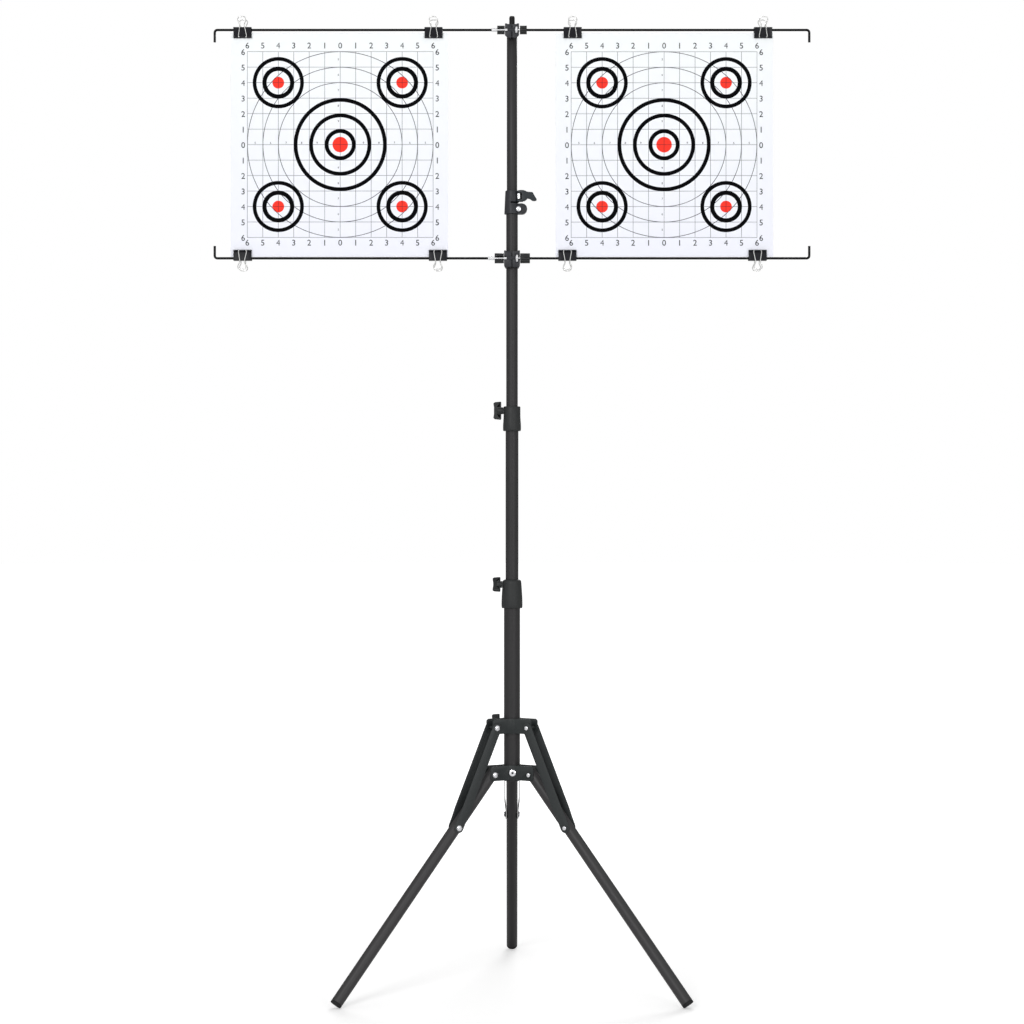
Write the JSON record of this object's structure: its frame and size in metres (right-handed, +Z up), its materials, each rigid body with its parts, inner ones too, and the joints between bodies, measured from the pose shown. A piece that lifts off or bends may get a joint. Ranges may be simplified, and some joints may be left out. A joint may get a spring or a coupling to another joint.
{
  "type": "target stand",
  "caption": "Folding tripod stand with a telescopic column and hooked rods that hold printed paper targets in binder clips.",
  "frame": {"origin": "on the ground, in the middle of the stand's footprint, which lies 79 mm in front of the column's axis", "axes": "+Z up along the column, +X to the viewer's right along the rods, +Y back towards the rear leg"},
  "size_m": [0.9754, 0.4962, 1.592],
  "materials": {
    "tube_black": "satin black powder coat",
    "bracket_black": "satin black coated steel",
    "plastic_black": "fine moulded texture",
    "clamp_black": "moulded glass-filled plastic",
    "foot_rubber": "matt rubber",
    "wire_black": "gloss black coated wire",
    "silver": "bright nickel",
    "clip_black": "gloss black spring steel",
    "paper": "printed paper"
  },
  "bodies": {
    "base": {"main_tube": "tube_black", "lower_hub": "bracket_black", "lower_collar": "plastic_black"},
    "middle": {"middle_tube": "tube_black", "upper_collar": "plastic_black"},
    "upper": {"upper_tube": "tube_black", "lever_clamp": "clamp_black"},
    "top": {"top_tube": "tube_black", "top_clamp": "clamp_black", "top_hollow_bolt": "silver"},
    "lower_holder": {"lower_clamp": "clamp_black", "lower_hollow_bolt": "silver"},
    "hub": {"upper_hub": "bracket_black"},
    "leg_left": {"leg_left": "tube_black", "foot_cap_left": "foot_rubber"},
    "strut_left": {"strut_left": "bracket_black"},
    "leg_right": {"leg_right": "tube_black", "foot_cap_right": "foot_rubber"},
    "strut_right": {"strut_right": "bracket_black"},
    "leg_rear": {"leg_rear": "tube_black", "foot_cap_rear": "foot_rubber"},
    "strut_rear": {"strut_rear": "bracket_black"},
    "lower_collar_knob": {"lower_collar_knob": "plastic_black"},
    "upper_collar_knob": {"upper_collar_knob": "plastic_black"},
    "hub_knob": {"hub_knob": "plastic_black"},
    "top_nut": {"top_nut": "plastic_black"},
    "top_knob": {"top_knob": "plastic_black"},
    "lower_nut": {"lower_nut": "plastic_black"},
    "lower_knob": {"lower_knob": "plastic_black"},
    "cam_lever": {"cam_lever": "plastic_black"},
    "top_left_rod": {"top_left_rod": "wire_black"},
    "top_right_rod": {"top_right_rod": "wire_black"},
    "lower_left_rod": {"lower_left_rod": "wire_black"},
    "lower_right_rod": {"lower_right_rod": "wire_black"},
    "left_target": {"left_paper": "paper", "left_top_clip_1": "clip_black", "left_top_clip_2": "clip_black", "left_bottom_clip_1": "clip_black", "left_bottom_clip_2": "clip_black"},
    "right_target": {"right_paper": "paper", "right_top_clip_1": "clip_black", "right_top_clip_2": "clip_black", "right_bottom_clip_1": "clip_black", "right_bottom_clip_2": "clip_black"},
    "left_bottom_clip_1_back_handle": {"left_bottom_clip_1_back_handle": "silver"},
    "left_bottom_clip_1_front_handle": {"left_bottom_clip_1_front_handle": "silver"},
    "left_bottom_clip_2_back_handle": {"left_bottom_clip_2_back_handle": "silver"},
    "left_bottom_clip_2_front_handle": {"left_bottom_clip_2_front_handle": "silver"},
    "left_top_clip_1_back_handle": {"left_top_clip_1_back_handle": "silver"},
    "left_top_clip_1_front_handle": {"left_top_clip_1_front_handle": "silver"},
    "left_top_clip_2_back_handle": {"left_top_clip_2_back_handle": "silver"},
    "left_top_clip_2_front_handle": {"left_top_clip_2_front_handle": "silver"},
    "right_bottom_clip_1_back_handle": {"right_bottom_clip_1_back_handle": "silver"},
    "right_bottom_clip_1_front_handle": {"right_bottom_clip_1_front_handle": "silver"},
    "right_bottom_clip_2_back_handle": {"right_bottom_clip_2_back_handle": "silver"},
    "right_bottom_clip_2_front_handle": {"right_bottom_clip_2_front_handle": "silver"},
    "right_top_clip_1_back_handle": {"right_top_clip_1_back_handle": "silver"},
    "right_top_clip_1_front_handle": {"right_top_clip_1_front_handle": "silver"},
    "right_top_clip_2_back_handle": {"right_top_clip_2_back_handle": "silver"},
    "right_top_clip_2_front_handle": {"right_top_clip_2_front_handle": "silver"}
  },
  "joints": [
    {"name": "middle_tube_slide", "type": "slide", "parent": "base", "child": "middle", "axis": [0, 0, 1], "range_m": [-0.235, 0]},
    {"name": "upper_tube_slide", "type": "slide", "parent": "middle", "child": "upper", "axis": [0, 0, 1], "range_m": [-0.22, 0]},
    {"name": "top_tube_slide", "type": "slide", "parent": "upper", "child": "top", "axis": [0, 0, -1], "range_m": [0, 0.215]},
    {"name": "lower_holder_slide", "type": "slide", "parent": "upper", "child": "lower_holder", "axis": [0, 0, -1], "range_m": [0, 0.215]},
    {"name": "upper_hub_slide", "type": "slide", "parent": "base", "child": "hub", "axis": [0, 0, 1], "range_m": [0, 0.17396]},
    {"name": "leg_fold_left", "type": "hinge", "parent": "base", "child": "leg_left", "pos_m": [-0.03291, -0.09822, 0.35039], "axis": [-0.5, 0.866, 0], "range_deg": [0, 107.76]},
    {"name": "strut_turn_left", "type": "hinge", "parent": "hub", "child": "strut_left", "pos_m": [-0.03031, -0.09672, 0.42668], "axis": [-0.5, 0.866, 0], "range_deg": [-3.33, 0]},
    {"name": "leg_fold_right", "type": "hinge", "parent": "base", "child": "leg_right", "pos_m": [0.03291, -0.09822, 0.35039], "axis": [-0.5, -0.866, 0], "range_deg": [0, 107.76]},
    {"name": "strut_turn_right", "type": "hinge", "parent": "hub", "child": "strut_right", "pos_m": [0.03031, -0.09672, 0.42668], "axis": [-0.5, -0.866, 0], "range_deg": [-3.33, 0]},
    {"name": "leg_fold_rear", "type": "hinge", "parent": "base", "child": "leg_rear", "pos_m": [0, -0.04122, 0.35039], "axis": [1, 0, 0], "range_deg": [0, 107.76]},
    {"name": "strut_turn_rear", "type": "hinge", "parent": "hub", "child": "strut_rear", "pos_m": [0, -0.04422, 0.42668], "axis": [1, 0, 0], "range_deg": [-3.33, 0]},
    {"name": "lower_collar_knob_turn", "type": "hinge", "parent": "base", "child": "lower_collar_knob", "pos_m": [-0.02, -0.07922, 0.66], "axis": [-1, 0, 0], "continuous": true},
    {"name": "upper_collar_knob_turn", "type": "hinge", "parent": "middle", "child": "upper_collar_knob", "pos_m": [-0.02, -0.07922, 0.945], "axis": [-1, 0, 0], "continuous": true},
    {"name": "hub_knob_turn", "type": "hinge", "parent": "hub", "child": "hub_knob", "pos_m": [-0.02598, -0.06422, 0.43158], "axis": [-0.866, 0.5, 0], "continuous": true},
    {"name": "top_nut_turn", "type": "hinge", "parent": "top", "child": "top_nut", "pos_m": [-0.018, -0.09522, 1.5663], "axis": [-1, 0, 0], "continuous": true},
    {"name": "top_knob_turn", "type": "hinge", "parent": "top", "child": "top_knob", "pos_m": [0.018, -0.09522, 1.5663], "axis": [1, 0, 0], "continuous": true},
    {"name": "top_left_rod_turn", "type": "hinge", "parent": "top", "child": "top_left_rod", "pos_m": [-0.03, -0.09522, 1.5663], "axis": [-1, 0, 0], "continuous": true},
    {"name": "top_right_rod_turn", "type": "hinge", "parent": "top", "child": "top_right_rod", "pos_m": [0.03, -0.09522, 1.5663], "axis": [1, 0, 0], "continuous": true},
    {"name": "lower_nut_turn", "type": "hinge", "parent": "lower_holder", "child": "lower_nut", "pos_m": [-0.018, -0.09522, 1.1933], "axis": [-1, 0, 0], "continuous": true},
    {"name": "lower_knob_turn", "type": "hinge", "parent": "lower_holder", "child": "lower_knob", "pos_m": [0.018, -0.09522, 1.1933], "axis": [1, 0, 0], "continuous": true},
    {"name": "lower_left_rod_turn", "type": "hinge", "parent": "lower_holder", "child": "lower_left_rod", "pos_m": [-0.03, -0.09522, 1.1933], "axis": [-1, 0, 0], "continuous": true},
    {"name": "lower_right_rod_turn", "type": "hinge", "parent": "lower_holder", "child": "lower_right_rod", "pos_m": [0.03, -0.09522, 1.1933], "axis": [1, 0, 0], "continuous": true},
    {"name": "cam_lever_swing", "type": "hinge", "parent": "upper", "child": "cam_lever", "pos_m": [0.0112, -0.08962, 1.2954], "axis": [0, 0, -1], "range_deg": [0, 100]},
    {"name": "left_target_slide", "type": "slide", "parent": "top", "child": "left_target", "axis": [1, 0, 0], "range_m": [-0.02, 0.05]},
    {"name": "right_target_slide", "type": "slide", "parent": "top", "child": "right_target", "axis": [1, 0, 0], "range_m": [-0.025, 0.05]},
    {"name": "left_bottom_clip_1_back_swing", "type": "hinge", "parent": "left_target", "child": "left_bottom_clip_1_back_handle", "pos_m": [-0.44, -0.09217, 1.2053], "axis": [1, 0, 0], "range_deg": [0, 160]},
    {"name": "left_bottom_clip_1_front_swing", "type": "hinge", "parent": "left_target", "child": "left_bottom_clip_1_front_handle", "pos_m": [-0.44, -0.09827, 1.2053], "axis": [-1, 0, 0], "range_deg": [0, 160]},
    {"name": "left_bottom_clip_2_back_swing", "type": "hinge", "parent": "left_target", "child": "left_bottom_clip_2_back_handle", "pos_m": [-0.121, -0.09217, 1.2053], "axis": [1, 0, 0], "range_deg": [0, 160]},
    {"name": "left_bottom_clip_2_front_swing", "type": "hinge", "parent": "left_target", "child": "left_bottom_clip_2_front_handle", "pos_m": [-0.121, -0.09827, 1.2053], "axis": [-1, 0, 0], "range_deg": [0, 160]},
    {"name": "left_top_clip_1_back_swing", "type": "hinge", "parent": "left_target", "child": "left_top_clip_1_back_handle", "pos_m": [-0.44, -0.09217, 1.5543], "axis": [-1, 0, 0], "range_deg": [0, 160]},
    {"name": "left_top_clip_1_front_swing", "type": "hinge", "parent": "left_target", "child": "left_top_clip_1_front_handle", "pos_m": [-0.44, -0.09827, 1.5543], "axis": [1, 0, 0], "range_deg": [0, 160]},
    {"name": "left_top_clip_2_back_swing", "type": "hinge", "parent": "left_target", "child": "left_top_clip_2_back_handle", "pos_m": [-0.128, -0.09217, 1.5543], "axis": [-1, 0, 0], "range_deg": [0, 160]},
    {"name": "left_top_clip_2_front_swing", "type": "hinge", "parent": "left_target", "child": "left_top_clip_2_front_handle", "pos_m": [-0.128, -0.09827, 1.5543], "axis": [1, 0, 0], "range_deg": [0, 160]},
    {"name": "right_bottom_clip_1_back_swing", "type": "hinge", "parent": "right_target", "child": "right_bottom_clip_1_back_handle", "pos_m": [0.0905, -0.09217, 1.2053], "axis": [1, 0, 0], "range_deg": [0, 160]},
    {"name": "right_bottom_clip_1_front_swing", "type": "hinge", "parent": "right_target", "child": "right_bottom_clip_1_front_handle", "pos_m": [0.0905, -0.09827, 1.2053], "axis": [-1, 0, 0], "range_deg": [0, 160]},
    {"name": "right_bottom_clip_2_back_swing", "type": "hinge", "parent": "right_target", "child": "right_bottom_clip_2_back_handle", "pos_m": [0.401, -0.09217, 1.2053], "axis": [1, 0, 0], "range_deg": [0, 160]},
    {"name": "right_bottom_clip_2_front_swing", "type": "hinge", "parent": "right_target", "child": "right_bottom_clip_2_front_handle", "pos_m": [0.401, -0.09827, 1.2053], "axis": [-1, 0, 0], "range_deg": [0, 160]},
    {"name": "right_top_clip_1_back_swing", "type": "hinge", "parent": "right_target", "child": "right_top_clip_1_back_handle", "pos_m": [0.099, -0.09217, 1.5543], "axis": [-1, 0, 0], "range_deg": [0, 160]},
    {"name": "right_top_clip_1_front_swing", "type": "hinge", "parent": "right_target", "child": "right_top_clip_1_front_handle", "pos_m": [0.099, -0.09827, 1.5543], "axis": [1, 0, 0], "range_deg": [0, 160]},
    {"name": "right_top_clip_2_back_swing", "type": "hinge", "parent": "right_target", "child": "right_top_clip_2_back_handle", "pos_m": [0.41, -0.09217, 1.5543], "axis": [-1, 0, 0], "range_deg": [0, 160]},
    {"name": "right_top_clip_2_front_swing", "type": "hinge", "parent": "right_target", "child": "right_top_clip_2_front_handle", "pos_m": [0.41, -0.09827, 1.5543], "axis": [1, 0, 0], "range_deg": [0, 160]}
  ],
  "couplings": [
    {"joint": "lower_holder_slide", "follows": "top_tube_slide", "ratio": 1},
    {"joint": "leg_fold_left", "follows": "upper_hub_slide", "rad_per_m": 10.81},
    {"joint": "strut_turn_left", "follows": "upper_hub_slide", "rad_per_m": -0.33396},
    {"joint": "leg_fold_right", "follows": "upper_hub_slide", "rad_per_m": 10.81},
    {"joint": "strut_turn_right", "follows": "upper_hub_slide", "rad_per_m": -0.33396},
    {"joint": "leg_fold_rear", "follows": "upper_hub_slide", "rad_per_m": 10.81},
    {"joint": "strut_turn_rear", "follows": "upper_hub_slide", "rad_per_m": -0.33396}
  ]
}
